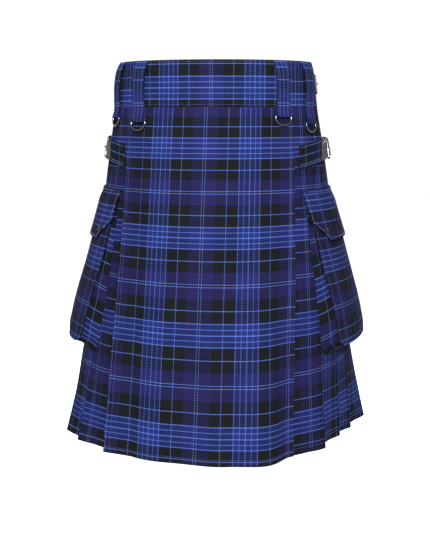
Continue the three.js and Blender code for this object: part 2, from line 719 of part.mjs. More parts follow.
// A strap with its buckle and chape; the strap runs under the buckle's outer bar and over its inner bar
function buildStrapSet(set, side) {
  const name = `${set.name}_${sideName(side)}`;
  const { wire: bar, halfLength, corner, clearance } = buckleShape;
  const innerBar = set.buckle + halfLength;
  const outerBar = set.buckle - halfLength;
  const start = set.start[side];
  const rise = (s) => set.z + set.slope * (s - start);
  const toPoint = ([s, out], across) => place(side * s, out, rise(s) + across);
  const chapeLow = set.base + seamGap + leather / 2;
  const hook = bar + clearance + leather / 2;
  const innerOut = chapeLow + hook;
  const strapTop = innerOut + hook + leather + seamGap;
  const outerOut = innerOut + leather;
  const strapUnder = outerOut - bar - clearance - leather / 2;
  const strapStart = set.base + set.raised + seamGap + leather / 2;
  const half = set.height / 2;

  const chapePath = evenly(1, 0.28, 4).map((share) => [innerBar + chapeLength * share, chapeLow]);
  for (const degrees of [-90, -135, -180, -225, -270]) {
    const angle = (degrees * Math.PI) / 180;
    chapePath.push([innerBar + hook * Math.cos(angle), innerOut + hook * Math.sin(angle)]);
  }
  chapePath.push([innerBar + chapeReturn / 2, innerOut + hook]);
  chapePath.push([innerBar + chapeReturn, innerOut + hook - leather]);
  const chapeHalf = half - chapeInset;
  const alongZ = new THREE.Vector3(0, 0, 1);
  const chape = solidOf(strip(chapePath, leather, () => [-chapeHalf, chapeHalf], toPoint));
  const gapLine = [toPoint([innerBar - 8, innerOut + 1], 0), toPoint([innerBar + 1, innerOut + 0.5], 0)];
  const prongGap = wire(gapLine, alongZ, prongShape.chapeSlot, holeSides, false);
  addPiece(`chape_${name}`, geometryOf(chape.subtract(solidOf(prongGap))), hide);

  const strapPath = [
    [start, strapStart],
    [start + 14, strapStart],
    [mix(start, outerBar, 0.55), mix(strapStart, strapUnder, 0.6)],
    [outerBar - 4, strapUnder],
    [outerBar + 3, strapUnder + 0.5],
    [innerBar - 5, strapTop - 0.6],
    [innerBar + 1, strapTop],
    [innerBar + 12, strapTop],
    [innerBar + strapTail - 9, strapTop - 1.4],
    [innerBar + strapTail, strapTop - 2.6],
  ];
  const strapEdges = (index) => {
    const shape = [1, 1, 1, 1, 1, 1, 1, 1, 0.86, 0.36][index] * (half - strapInset);
    return [-shape, 0, shape];
  };
  const strapSolid = solidOf(strip(strapPath, leather, strapEdges, toPoint));

  // Prong: from the inner bar up through the strap to lie on the outer bar
  const prongPath = [
    [innerBar - bar - 0.2, innerOut + 0.4],
    [innerBar - 7, strapTop + 1.2],
    [outerBar + 5, outerOut + bar + 2],
    [outerBar - 1.5, outerOut + bar + 1.2],
  ];
  const prongPoints = prongPath.map((point) => toPoint(point, 0));
  const prong = wire(prongPoints, alongZ, prongShape.wire, wireSides, false);
  const hole = wire(prongPoints, alongZ, prongShape.hole, holeSides, false);
  const slot = wire([toPoint([innerBar - 9, innerOut - 3], 0), toPoint([innerBar - 5.5, strapTop + 5], 0)],
    alongZ, prongShape.slot, holeSides, false);
  const cutStrap = strapSolid.subtract(solidOf(hole)).subtract(solidOf(slot));
  addPiece(`strap_${name}`, geometryOf(cutStrap), hide);

  // Frame: two bars and two sides, with rounded corners
  const halfTall = half + buckleShape.overhang;
  const frame = [];
  for (const [endS, endZ, startDeg] of [[1, 1, 0], [-1, 1, 90], [-1, -1, 180], [1, -1, 270]]) {
    for (const step of [0, 45, 90]) {
      const angle = ((startDeg + step) * Math.PI) / 180;
      frame.push([endS * (halfLength - corner) + corner * Math.cos(angle),
        endZ * (halfTall - corner) + corner * Math.sin(angle)]);
    }
  }
  const framePoints = frame.map(([along, tall]) => {
    const share = (along + halfLength) / (2 * halfLength);
    return toPoint([set.buckle + along, mix(outerOut, innerOut, share)], tall);
  });
  const facing = new THREE.Vector3().crossVectors(
    framePoints[4].clone().sub(framePoints[1]),
    framePoints[7].clone().sub(framePoints[4]),
  ).normalize();
  const frameSolid = solidOf(wire(framePoints, facing, bar, wireSides, true));
  const rootEnds = [-1, 1].map((end) => toPoint([innerBar, innerOut], end * prongShape.rootHalfWidth));
  const prongRoot = wire(rootEnds, facing, prongShape.root, wireSides, false);
  const buckle = frameSolid.add(solidOf(prong)).add(solidOf(prongRoot));
  addPiece(`buckle_${name}`, geometryOf(buckle), steel);
}

buildWaistband();
buildAprons();
buildPleats();
loops.forEach(buildLoop);
loops.filter((loop) => loop.ring).forEach(buildRing);
for (const side of [-1, 1]) {
  buildPocketFace(side);
  buildPocketGusset(side);
  buildFlap(side);
  buildHipTab(side);
  strapSets.forEach((set) => buildStrapSet(set, side));
}

export default group;
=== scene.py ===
# Utility kilt in blue tartan. Sizes are in mm and turned to metres where points are made.
# +Z is up, the apron faces -Y, +X is the wearer's left, z = 0 is the waistband's top edge.
import math

import bpy
import numpy as np
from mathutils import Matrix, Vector


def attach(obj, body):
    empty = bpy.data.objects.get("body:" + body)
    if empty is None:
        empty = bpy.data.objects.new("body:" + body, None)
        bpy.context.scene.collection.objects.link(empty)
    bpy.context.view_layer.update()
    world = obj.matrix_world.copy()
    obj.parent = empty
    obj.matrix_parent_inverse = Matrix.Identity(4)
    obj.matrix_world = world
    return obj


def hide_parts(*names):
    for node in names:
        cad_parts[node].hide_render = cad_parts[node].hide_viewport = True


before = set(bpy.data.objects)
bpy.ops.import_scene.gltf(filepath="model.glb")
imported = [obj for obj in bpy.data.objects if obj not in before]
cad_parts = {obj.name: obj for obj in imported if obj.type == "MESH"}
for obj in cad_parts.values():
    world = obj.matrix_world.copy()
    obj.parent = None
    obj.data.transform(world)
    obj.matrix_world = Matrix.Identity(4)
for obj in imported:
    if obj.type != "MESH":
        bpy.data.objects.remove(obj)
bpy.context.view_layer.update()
mm = 0.001
scene = bpy.context.scene

print("kilt: camera, light and floor")

view = {
    "azimuth": 5.0,          # degrees towards the wearer's left
    "distance": 1600.0,      # level distance from the eye to the body's centre line
    "eyeZ": -76.0,
    "aimZ": -334.0,
    "lens": 65.5,            # on the frame's 36 mm long side
    "shiftX": -0.0019,
}
studio = {
    "floorZ": -1090.0,       # the hem hangs at the knee, 480 above the floor
    "floorHalf": 40000.0,
    "floorColour": "#fdfdfd",
    "worldColour": "#ffffff",
    "worldStrength": 1.03,
    # a spot keeps the key off the floor: place and aim in metres, cone in degrees, softness in metres, watts
    "key": {"place": (0.1, -2.95, 0.9), "aim": (0, 0, -0.33), "cone": 27.0, "soft": 0.25, "watts": 1700},
    # name, place and aim in metres, size in metres, watts
    "lights": [
        ("fill", (0.5, -3.0, 0.0), (0, 0, -0.35), (1.4, 1.4), 12),
        ("back", (0.3, 2.8, 0.6), (0, 0, -0.3), (1.4, 1.4), 40),
    ],
}


def linear(hexColour):
    parts = [int(hexColour[i:i + 2], 16) / 255 for i in (1, 3, 5)]
    return [c / 12.92 if c <= 0.04045 else ((c + 0.055) / 1.055) ** 2.4 for c in parts] + [1.0]


def aimAt(thing, place, aim):
    thing.location = place
    thing.rotation_mode = "QUATERNION"
    thing.rotation_quaternion = (Vector(aim) - Vector(place)).to_track_quat("-Z", "Y")
    scene.collection.objects.link(thing)


def makeCamera():
    angle = math.radians(view["azimuth"])
    eye = Vector((math.sin(angle) * view["distance"], -math.cos(angle) * view["distance"], view["eyeZ"])) * mm
    data = bpy.data.cameras.new("camera")
    data.lens = view["lens"]
    data.sensor_width = 36
    data.shift_x = view["shiftX"]
    camera = bpy.data.objects.new("camera", data)
    aimAt(camera, eye, (0, 0, view["aimZ"] * mm))
    scene.camera = camera


def makeStudio():
    world = bpy.data.worlds.new("studio")
    scene.world = world
    world.use_nodes = True
    background = world.node_tree.nodes["Background"]
    background.inputs["Color"].default_value = linear(studio["worldColour"])
    background.inputs["Strength"].default_value = studio["worldStrength"]
    facts = studio["key"]
    key = bpy.data.lights.new("key", "SPOT")
    key.spot_size = math.radians(facts["cone"])
    key.spot_blend = 0.35
    key.shadow_soft_size = facts["soft"]
    key.energy = facts["watts"]
    aimAt(bpy.data.objects.new("key", key), facts["place"], facts["aim"])
    for name, place, aim, size, watts in studio["lights"]:
        data = bpy.data.lights.new(name, "AREA")
        data.shape = "RECTANGLE"
        data.size, data.size_y = size
        data.energy = watts
        aimAt(bpy.data.objects.new(name, data), place, aim)
    half = studio["floorHalf"] * mm
    z = studio["floorZ"] * mm
    mesh = bpy.data.meshes.new("floor")
    corners = [(-half, -half, z), (half, -half, z), (half, half, z), (-half, half, z)]
    mesh.from_pydata(corners, [], [(0, 1, 2, 3)])
    floor = bpy.data.objects.new("floor", mesh)
    scene.collection.objects.link(floor)
    paper = bpy.data.materials.new("studio floor")
    paper.use_nodes = True
    shader = paper.node_tree.nodes["Principled BSDF"]
    shader.inputs["Base Color"].default_value = linear(studio["floorColour"])
    shader.inputs["Roughness"].default_value = 0.9
    mesh.materials.append(paper)
    scene.view_settings.view_transform = "Standard"


makeCamera()
makeStudio()

print("kilt: materials")

# Sett of the tartan from the middle of the blue band to the middle of the purple one, where it turns back.
# Colour and share of the half repeat.
sett = [
    ("line", 0.009), ("blue", 0.097), ("line", 0.018), ("blue", 0.097), ("line", 0.018), ("black", 0.242),
    ("line", 0.018), ("black", 0.221), ("purple", 0.242), ("line", 0.018), ("navy", 0.02),
]
threads = {"line": "#303f70", "blue": "#0d1439", "black": "#08090b", "purple": "#100e2b", "navy": "#070813"}
weave = {
    "warpRepeat": 138.0,     # mm between the blue bands that run down the cloth
    "weftRepeat": 144.7,
    "thread": 0.95,          # real threads are 0.5 apart, drawn coarser so that the twill shows
    "contrast": 0.56,        # how clearly one system of threads covers the other
    "weftShare": 0.62,       # the weft covers more of the face than the warp
    "relief": 0.16,
    # z, repeats down from the middle of the first blue band: the cloth lies closer over the hips
    "rows": [(-71.3, -0.474), (-132.9, 0), (-267, 1), (-413, 2), (-568.4, 3), (-610, 3.3)],
}


def addNode(tree, kind, inputs=None, **settings):
    made = tree.nodes.new(kind)
    for key, value in settings.items():
        setattr(made, key, value)
    for key, value in (inputs or {}).items():
        if isinstance(value, bpy.types.NodeSocket):
            tree.links.new(value, made.inputs[key])
        else:
            made.inputs[key].default_value = value
    return made


def mathOutput(tree, operation, *values):
    return addNode(tree, "ShaderNodeMath", dict(enumerate(values)), operation=operation).outputs[0]


def mixedColour(tree, share, first, second, blend="MIX"):
    inputs = {0: share, 6: first, 7: second}
    return addNode(tree, "ShaderNodeMix", inputs, data_type="RGBA", blend_type=blend).outputs[2]


def noise(tree, where, scale, detail):
    inputs = {"Vector": where, "Scale": scale, "Detail": detail}
    return addNode(tree, "ShaderNodeTexNoise", inputs).outputs["Fac"]


# Maps a value of 0 to 1, or between the limits given, to low up to high
def spread(tree, value, low, high, **limits):
    inputs = {"Value": value, "To Min": low, "To Max": high, **limits}
    return addNode(tree, "ShaderNodeMapRange", inputs).outputs["Result"]


# Relief of the surface, its distance in mm
def addRelief(tree, shader, height, strength, distance):
    inputs = {"Height": height, "Strength": strength, "Distance": distance * mm}
    bump = addNode(tree, "ShaderNodeBump", inputs)
    tree.links.new(bump.outputs["Normal"], shader.inputs["Normal"])


def newMaterial(name):
    material = bpy.data.materials.new(name)
    material.use_nodes = True
    tree = material.node_tree
    return material, tree, tree.nodes["Principled BSDF"]


def settRamp(tree, coordinate):
    turned = addNode(tree, "ShaderNodeMath", {0: coordinate, 1: 1.0}, operation="PINGPONG")
    ramp = addNode(tree, "ShaderNodeValToRGB", {"Fac": turned.outputs[0]})
    ramp.color_ramp.interpolation = "CONSTANT"
    stops = ramp.color_ramp.elements
    total = sum(share for _, share in sett)
    start = 0.0
    for index, (colour, share) in enumerate(sett):
        stop = stops[index] if index < 2 else stops.new(start / total)
        stop.position = start / total
        stop.color = linear(threads[colour])
        start += share
    return ramp.outputs["Color"]


# Worsted tartan woven in 2/2 twill: matt, with a faint nap and slightly uneven dye
def tartanTwill():
    material, tree, shader = newMaterial("worsted tartan, woven in 2/2 twill")
    chart = addNode(tree, "ShaderNodeAttribute", attribute_name="clothChart")
    across = addNode(tree, "ShaderNodeSeparateXYZ", {0: chart.outputs["Vector"]})
    x, y = across.outputs["X"], across.outputs["Y"]
    warp = settRamp(tree, mathOutput(tree, "MULTIPLY", x, 2 / (weave["warpRepeat"] * mm)))
    weft = settRamp(tree, mathOutput(tree, "MULTIPLY", y, 2 / (weave["weftRepeat"] * mm)))
    counts = [mathOutput(tree, "FLOOR", mathOutput(tree, "DIVIDE", axis, weave["thread"] * mm))
              for axis in (x, y)]
    phase = mathOutput(tree, "FRACT", mathOutput(tree, "MULTIPLY", mathOutput(tree, "ADD", *counts), 0.25))
    over = mathOutput(tree, "LESS_THAN", phase, 0.5)
    half = weave["contrast"] / 2
    share = spread(tree, over, weave["weftShare"] - half, weave["weftShare"] + half)
    nap = noise(tree, chart.outputs["Vector"], 420.0, 3.0)
    patches = noise(tree, chart.outputs["Vector"], 22.0, 2.0)
    tone = spread(tree, mathOutput(tree, "ADD", nap, patches), 0.8, 1.2, **{"From Min": 0.6, "From Max": 1.4})
    colour = mixedColour(tree, 1.0, mixedColour(tree, share, warp, weft), tone, blend="MULTIPLY")
    tree.links.new(colour, shader.inputs["Base Color"])
    ribs = mathOutput(tree, "SINE", mathOutput(tree, "MULTIPLY", phase, 2 * math.pi))
    addRelief(tree, shader, mathOutput(tree, "ADD", ribs, nap), 0.5, weave["relief"])
    shader.inputs["Roughness"].default_value = 0.86
    shader.inputs["IOR"].default_value = 1.5
    shader.inputs["Specular IOR Level"].default_value = 0.02
    shader.inputs["Sheen Weight"].default_value = 0.004
    shader.inputs["Sheen Roughness"].default_value = 0.5
    shader.inputs["Sheen Tint"].default_value = linear("#c9d0ff")
    return material


# Spun polyester sewing thread: a little brighter than the cloth, with a soft gloss
def sewingThread(name, colour):
    material, tree, shader = newMaterial(name)
    where = addNode(tree, "ShaderNodeTexCoord")
    tone = spread(tree, noise(tree, where.outputs["Object"], 900.0, 2.0), 0.75, 1.2)
    shade = mixedColour(tree, 1.0, linear(colour), tone, blend="MULTIPLY")
    tree.links.new(shade, shader.inputs["Base Color"])
    shader.inputs["Roughness"].default_value = 0.6
    return material


# Bridle leather, drum dyed and glazed: satin, with a close pebbled grain, paler where edges and bends rub
def bridleLeather():
    material, tree, shader = newMaterial("bridle leather, dyed and glazed")
    where = addNode(tree, "ShaderNodeTexCoord")
    place = where.outputs["Object"]
    grain = addNode(tree, "ShaderNodeTexVoronoi", {"Vector": place, "Scale": 900.0}, feature="F1")
    pores = noise(tree, place, 260.0, 5.0)
    rubbed = addNode(tree, "ShaderNodeNewGeometry")
    worn = spread(tree, rubbed.outputs["Pointiness"], 0.0, 0.5, **{"From Min": 0.6, "From Max": 0.8})
    blotch = noise(tree, place, 60.0, 3.0)
    dye = mixedColour(tree, blotch, linear("#131011"), linear("#211c1b"))
    colour = mixedColour(tree, mathOutput(tree, "MULTIPLY", worn, blotch), dye, linear("#6b5a50"))
    tree.links.new(colour, shader.inputs["Base Color"])
    tree.links.new(spread(tree, pores, 0.38, 0.62), shader.inputs["Roughness"])
    addRelief(tree, shader, mathOutput(tree, "ADD", grain.outputs["Distance"], pores), 0.45, 0.2)
    shader.inputs["IOR"].default_value = 1.5
    shader.inputs["Specular IOR Level"].default_value = 0.16
    return material


# Plated metal, tumbled: a dark even grey with faint stains and fine rub marks; in the steel the dark grey is
# partly painted reflection, standing in for dark surroundings
def platedMetal(name, colour, roughness):
    material, tree, shader = newMaterial(name)
    where = addNode(tree, "ShaderNodeTexCoord")
    rub = noise(tree, where.outputs["Object"], 700.0, 4.0)
    tree.links.new(spread(tree, rub, roughness * 0.6, roughness * 1.5), shader.inputs["Roughness"])
    tone = spread(tree, noise(tree, where.outputs["Object"], 90.0, 3.0), 0.8, 1.1)
    shade = mixedColour(tree, 1.0, linear(colour), tone, blend="MULTIPLY")
    tree.links.new(shade, shader.inputs["Base Color"])
    addRelief(tree, shader, rub, 0.15, 0.05)
    shader.inputs["Metallic"].default_value = 1.0
    return material


materials = {
    "tartan": tartanTwill(),
    "paleThread": sewingThread("spun polyester thread, lavender grey", "#3f4474"),
    "darkThread": sewingThread("spun polyester thread, navy", "#1c2147"),
    "leather": bridleLeather(),
    # bright nickel plate is paler: this steel's dark base is partly painted shade, the reflection of dark
    # surroundings on rings and buckles
    "steel": platedMetal("steel wire, nickel plated and tumbled", "#4e4f52", 0.2),
    "stud": platedMetal("brass cap, gunmetal plated", "#232428", 0.4),
}

print("kilt: the body that the cloth hangs on")

body = {
    "length": 610.0,
    "bandHeight": 71.0,
    "backSquareness": 0.84,
    # z, half width, depth in front, depth behind, where it is widest
    "sections": [
        (0, 146.5, 110, 111, 0), (-18, 151, 112, 114, 0), (-71, 157, 116, 119, 0), (-125, 166, 124, 130, 5),
        (-200, 178, 136, 145, 15), (-340, 199, 157, 167, 38), (-480, 221, 177, 188, 62),
        (-610, 239, 194, 204, 82),
    ],
    # place as a share of the half girth, half width, depth at the hem, start z
    "waves": [
        (-0.055, 70, -7, -150), (0.125, 52, 9, -200), (0.215, 60, -11, -200), (0.4, 150, -22, -380),
        (-0.41, 150, 19, -280), (0.68, 130, 11, -300), (-0.74, 120, 6, -250),
    ],
}
layers = {"cloth": 1.4, "doubled": 2.4, "leather": 2.4, "gap": 0.3, "layerGap": 0.7, "band": 2.8}
cloth, doubled, leather, gap = layers["cloth"], layers["doubled"], layers["leather"], layers["gap"]
pleatBase = cloth + layers["layerGap"]
pleatStep = cloth + 0.4
pleatTop = pleatBase + 2 * pleatStep + cloth
apronOut = pleatBase + cloth + layers["layerGap"]
bandTop = apronOut + layers["band"]
skirtTop = -body["bandHeight"] - gap
skirtLength = body["length"] + skirtTop


def mix(a, b, share):
    return a + (b - a) * share


def clamp01(value):
    return np.clip(value, 0.0, 1.0)


def soften(value):
    value = clamp01(value)
    return value * value * (3 - 2 * value)


def downShare(z, fromZ):
    return clamp01((fromZ - z) / (fromZ + body["length"]))


def columnAt(rows, column, z):
    last = len(rows) - 1
    row = 0
    while row < last - 1 and z < rows[row + 1][0]:
        row += 1

    def slopeAt(index):
        before, after = rows[max(0, index - 1)], rows[min(last, index + 1)]
        return (after[column] - before[column]) / (after[0] - before[0])

    span = rows[row + 1][0] - rows[row][0]
    t = float(clamp01((z - rows[row][0]) / span))
    return ((2 * t**3 - 3 * t**2 + 1) * rows[row][column] + (t**3 - 2 * t**2 + t) * span * slopeAt(row)
            + (3 * t**2 - 2 * t**3) * rows[row + 1][column] + (t**3 - t**2) * span * slopeAt(row + 1))


outlines = {}


# Half of the body's outline at one z, by arc length from the centre front, with its outward normals
def outlineAt(z):
    key = round(float(z), 3)
    if key not in outlines:
        halfWidth, front, back, widest = (columnAt(body["sections"], column, key) for column in (1, 2, 3, 4))
        angle = np.linspace(0, math.pi, 361)
        ahead, across = np.cos(angle), np.maximum(0, np.sin(angle))
        x = halfWidth * np.where(ahead > 0, across, across ** body["backSquareness"])
        y = np.where(ahead > 0, widest - (front + widest) * ahead,
                     widest + (back - widest) * np.abs(ahead) ** body["backSquareness"])
        arc = np.concatenate([[0], np.cumsum(np.hypot(np.diff(x), np.diff(y)))])
        alongX, alongY = np.gradient(x, arc), np.gradient(y, arc)
        alongX[0], alongY[0], alongX[-1], alongY[-1] = 1, 0, -1, 0
        length = np.hypot(alongX, alongY)
        outlines[key] = (arc, x, y, alongY / length, -alongX / length)
    return outlines[key]


def halfGirth(z):
    return outlineAt(z)[0][-1]


def waveLift(along, z, half):
    total = np.zeros_like(along)
    for at, halfWidth, depth, startZ in body["waves"]:
        distance = np.abs(along - at * half) / halfWidth
        height = downShare(z, startZ) ** 1.3
        total += np.where(distance < 1, depth * height * 0.5 * (1 + np.cos(math.pi * distance)), 0)
    return total


# Points in metres for places along the girth and heights above the body, in mm, at one z
def place(s, out, z):
    arc, x, y, normalX, normalY = outlineAt(z)
    half = arc[-1]
    along = (np.asarray(s, float) + half) % (2 * half) - half
    side = np.where(along < 0, -1.0, 1.0)
    target = np.abs(along)
    reach = np.asarray(out, float) + waveLift(along, z, half)
    px = side * (np.interp(target, arc, x) + np.interp(target, arc, normalX) * reach)
    py = np.interp(target, arc, y) + np.interp(target, arc, normalY) * reach
    return np.stack([px, py, np.full_like(px, z)], -1) * mm


# The same for arrays in which every point has its own z
def placeEach(s, out, z):
    s, out, z = np.broadcast_arrays(np.asarray(s, float), out, z)
    flat = [place(a, b, c) for a, b, c in zip(s.ravel(), out.ravel(), z.ravel())]
    return np.array(flat).reshape(s.shape + (3,))


print("kilt: tools for cloth, wire and stitches")


def unit(vectors):
    return vectors / np.maximum(np.linalg.norm(vectors, axis=-1, keepdims=True), 1e-12)


def normalsOf(grid):
    return unit(np.cross(np.gradient(grid, axis=0), np.gradient(grid, axis=1)))


# A smooth curve through the points of a flat path
def smoothPath(path, steps):
    path = np.asarray(path, float)
    padded = np.concatenate([[2 * path[0] - path[1]], path, [2 * path[-1] - path[-2]]])
    t = np.linspace(0, 1, steps, endpoint=False)[:, None]
    runs = [0.5 * (2 * b + (c - a) * t + (2 * a - 5 * b + 4 * c - d) * t**2 + (3 * b - a - 3 * c + d) * t**3)
            for a, b, c, d in zip(padded, padded[1:], padded[2:], padded[3:])]
    return np.concatenate(runs + [path[-1:]])


# Shifts a flat path sideways, to the left of the way it runs
def shiftPath(path, distance):
    along = unit(np.gradient(np.asarray(path, float), axis=0))
    return path + np.stack([-along[:, 1], along[:, 0]], -1) * np.reshape(distance, (-1, 1))


def pathLength(path):
    return np.concatenate([[0], np.cumsum(np.linalg.norm(np.diff(path, axis=0), axis=1))])


# One mesh of an outer and an inner grid with rims; chart gives the place in the flat cloth, in mm
def shellMesh(name, outer, inner, chart=None):
    rows, columns = outer.shape[:2]
    index = np.arange(rows * columns).reshape(rows, columns)
    far = index + rows * columns

    def quads(a, b, c, d):
        return np.stack([a, b, c, d], -1).reshape(-1, 4)

    faces = [
        quads(index[:-1, :-1], index[1:, :-1], index[1:, 1:], index[:-1, 1:]),
        quads(far[:-1, :-1], far[:-1, 1:], far[1:, 1:], far[1:, :-1]),
        quads(index[0, :-1], index[0, 1:], far[0, 1:], far[0, :-1]),
        quads(index[-1, :-1], far[-1, :-1], far[-1, 1:], index[-1, 1:]),
        quads(index[:-1, 0], far[:-1, 0], far[1:, 0], index[1:, 0]),
        quads(index[:-1, -1], index[1:, -1], far[1:, -1], far[:-1, -1]),
    ]
    mesh = bpy.data.meshes.new(name)
    vertices = np.concatenate([outer.reshape(-1, 3), inner.reshape(-1, 3)])
    faces = np.concatenate(faces)
    a, b, c, d = (vertices[faces[:, corner]] for corner in range(4))
    volume = np.sum(a * np.cross(b, c)) + np.sum(a * np.cross(c, d))
    mesh.from_pydata(vertices.tolist(), [], (faces if volume > 0 else faces[:, ::-1]).tolist())
    if chart is not None:
        flat = np.concatenate([chart.reshape(-1, 2)] * 2) * mm
        layer = mesh.attributes.new("clothChart", "FLOAT_VECTOR", "POINT")
        places = np.column_stack([flat, np.zeros(len(flat))]).astype(np.float32)
        layer.data.foreach_set("vector", places.ravel())
    mesh.polygons.foreach_set("use_smooth", [True] * len(mesh.polygons))
    mesh.set_sharp_from_angle(angle=math.radians(48))
    mesh.update()
    return mesh


def roundEdges(thing, width, fromAngle):
    rounding = thing.modifiers.new("rounded edges", "BEVEL")
    rounding.width = width * mm
    rounding.segments = 2
    rounding.limit_method = "ANGLE"
    rounding.angle_limit = math.radians(fromAngle)


def addPiece(name, mesh, material, bodyName="kilt", replaces=(), edge=0.0):
    piece = bpy.data.objects.new(name, mesh)
    scene.collection.objects.link(piece)
    mesh.materials.append(materials[material])
    if edge:
        roundEdges(piece, edge, 60)
    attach(piece, bodyName)
    if replaces:
        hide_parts(*replaces)
    return piece


def clothPiece(name, outer, chart, thick, replaces=(), edge=0.3):
    inner = outer - normalsOf(outer) * thick * mm
    mesh = shellMesh(name, outer, inner, chart)
    return addPiece(name, mesh, "tartan", replaces=replaces, edge=edge)


# A panel on the body: s and out are given for each z row and column share
def panelGrid(heights, columns, left, right, out):
    share = np.linspace(0, 1, columns)
    points, sPlaces = [], []
    for z in heights:
        s = mix(left(z), right(z), share)
        points.append(place(s, out(s, z), z))
        sPlaces.append(s)
    return np.array(points), np.array(sPlaces)


# A round wire through points, closed or with rounded ends
def wireData(points, radius, up, sides=14, closed=True):
    points = np.asarray(points, float)
    count = len(points)
    if closed:
        along = np.roll(points, -1, 0) - np.roll(points, 1, 0)
    else:
        along = np.gradient(points, axis=0)
    along /= np.linalg.norm(along, axis=1, keepdims=True)
    across = np.cross(np.broadcast_to(up, along.shape), along)
    across /= np.linalg.norm(across, axis=1, keepdims=True)
    third = np.cross(along, across)
    turn = np.linspace(0, 2 * math.pi, sides, endpoint=False)
    radii = np.full(count, radius)
    ring = (across[:, None] * np.cos(turn)[None, :, None] + third[:, None] * np.sin(turn)[None, :, None])
    vertices = (points[:, None] + ring * radii[:, None, None]).reshape(-1, 3).tolist()
    faces = []
    for i in range(count if closed else count - 1):
        j = (i + 1) % count
        for k in range(sides):
            m = (k + 1) % sides
            faces.append((i * sides + k, i * sides + m, j * sides + m, j * sides + k))
    if not closed:
        for end, sign in ((0, -1), (count - 1, 1)):
            tip = len(vertices)
            vertices.append((points[end] + along[end] * sign * radius * 0.8).tolist())
            for k in range(sides):
                m = (k + 1) % sides
                pair = (end * sides + m, end * sides + k) if sign < 0 else (end * sides + k, end * sides + m)
                faces.append((*pair, tip))
    return vertices, faces


# One mesh of several lists of vertices and faces
def smoothMesh(name, *parts):
    vertices, faces = [], []
    for newVertices, newFaces in parts:
        start = len(vertices)
        vertices += newVertices
        faces += [tuple(start + corner for corner in face) for face in newFaces]
    mesh = bpy.data.meshes.new(name)
    mesh.from_pydata(vertices, [], faces)
    mesh.polygons.foreach_set("use_smooth", [True] * len(mesh.polygons))
    return mesh


stitch = {"length": 2.7, "pitch": 3.6, "width": 0.75, "height": 0.42}


# Rows of stitches in one mesh; each row is a dense line of points with the normals of the cloth under it
def stitchMesh(name, rows, size=stitch):
    vertices, faces = [], []
    for points, normals in rows:
        lengths = np.concatenate([[0], np.cumsum(np.linalg.norm(np.diff(points, axis=0), axis=1))])
        start = 0.5 * size["pitch"] * mm
        while start + size["length"] * mm < lengths[-1]:
            ends = [start, start + size["length"] * mm * 0.22, start + size["length"] * mm * 0.78,
                    start + size["length"] * mm]
            spots = np.array([[np.interp(e, lengths, points[:, axis]) for axis in range(3)] for e in ends])
            normal = np.array([np.interp(start, lengths, normals[:, axis]) for axis in range(3)])
            normal /= np.linalg.norm(normal)
            along = spots[3] - spots[0]
            across = np.cross(normal, along)
            across /= np.linalg.norm(across)
            base = len(vertices)
            half, rise = size["width"] * mm / 2, size["height"] * mm
            vertices.append((spots[0] - normal * rise * 0.3).tolist())
            for spot in (spots[1], spots[2]):
                for shift in (-across * half, normal * rise, across * half, -normal * rise * 0.6):
                    vertices.append((spot + shift).tolist())
            vertices.append((spots[3] - normal * rise * 0.3).tolist())
            for k in range(4):
                m = (k + 1) % 4
                faces.append((base, base + 1 + m, base + 1 + k))
                faces.append((base + 1 + k, base + 1 + m, base + 5 + m, base + 5 + k))
                faces.append((base + 5 + k, base + 5 + m, base + 9))
            start += size["pitch"] * mm
    return smoothMesh(name, (vertices, faces))


def addStitches(name, rows, thread="paleThread"):
    addPiece(name, stitchMesh(name, rows), thread)


# A line on a grid of points: a row or column at a place between grid lines
def gridLine(grid, row=None, column=None, lift=0.05, inner=None):
    normal = normalsOf(grid) if inner is None else unit(grid - inner)
    if row is not None:
        low = min(int(row), grid.shape[0] - 2)
        points, normals = (mix(a[low], a[low + 1], row - low) for a in (grid, normal))
    else:
        low = min(int(column), grid.shape[1] - 2)
        points, normals = (mix(a[:, low], a[:, low + 1], column - low) for a in (grid, normal))
    return points + normals * lift * mm, normals


# Row of a grid at a z that lies between its heights
def rowAt(heights, z):
    return float(np.interp(-z, -np.asarray(heights), np.arange(len(heights))))


# Soft troughs and ridges: where each starts and ends on the cloth, half width and depth
def creaseLift(creases, s, z):
    total = np.zeros_like(np.asarray(s, float))
    for s0, z0, s1, z1, halfWidth, depth in creases:
        run, drop = s1 - s0, z1 - z0
        share = ((s - s0) * run + (z - z0) * drop) / (run * run + drop * drop)
        held = clamp01(share)
        distance = np.hypot(s - s0 - held * run, z - z0 - held * drop) / halfWidth
        fade = np.sin(math.pi * clamp01(share * 0.96 + 0.02)) ** 0.7
        total += depth * fade * np.exp(-1.6 * distance ** 2)
    return total


print("kilt: aprons")

apron = {
    "leftTop": -138.0, "leftHem": -168.0, "rightTop": 134.0, "rightHem": 148.0,
    "columns": 150,
    "rows": 190,
    # where the edges fall in the sett, in warp repeats from the middle of the apron's purple stripe
    "chartLeftTop": -1.015, "chartLeftHem": -1.0, "chartRightTop": 1.045, "chartRightHem": 1.09,
    "flareDepth": 15.0, "flareWidth": 44.0, "flareStart": -190.0,
    "curlDepth": 2.2, "curlWidth": 9.0, "curlStart": -210.0,   # the right edge stands off a little
    "hemStitch": 10.0,       # stitched line above the hem
    "sideStitch": 4.5,       # stitched line inside each edge, in columns
    # s and z of both ends, half width, depth
    "creases": [
        (-108, -90, -128, -600, 9, -1.6), (60, -95, 96, -420, 14, 1.0), (20, -300, 34, -606, 20, -1.4),
        (-60, -330, -74, -608, 18, 1.5), (96, -380, 118, -606, 12, 1.6), (-20, -78, -32, -190, 10, -0.7),
        (44, -76, 30, -150, 9, -0.6), (-96, -80, -84, -170, 8, 0.7), (104, -78, 92, -190, 9, -0.8),
    ],
}
underApron = {"leftTop": -134.0, "leftHem": -140.0, "rightTop": 131.0, "rightHem": 128.0, "hemLift": 6.0}


def edgeAt(top, hem):
    return lambda z: mix(top, hem, float(clamp01((skirtTop - z) / skirtLength)))


apronLeft = edgeAt(apron["leftTop"], apron["leftHem"])
apronRight = edgeAt(apron["rightTop"], apron["rightHem"])


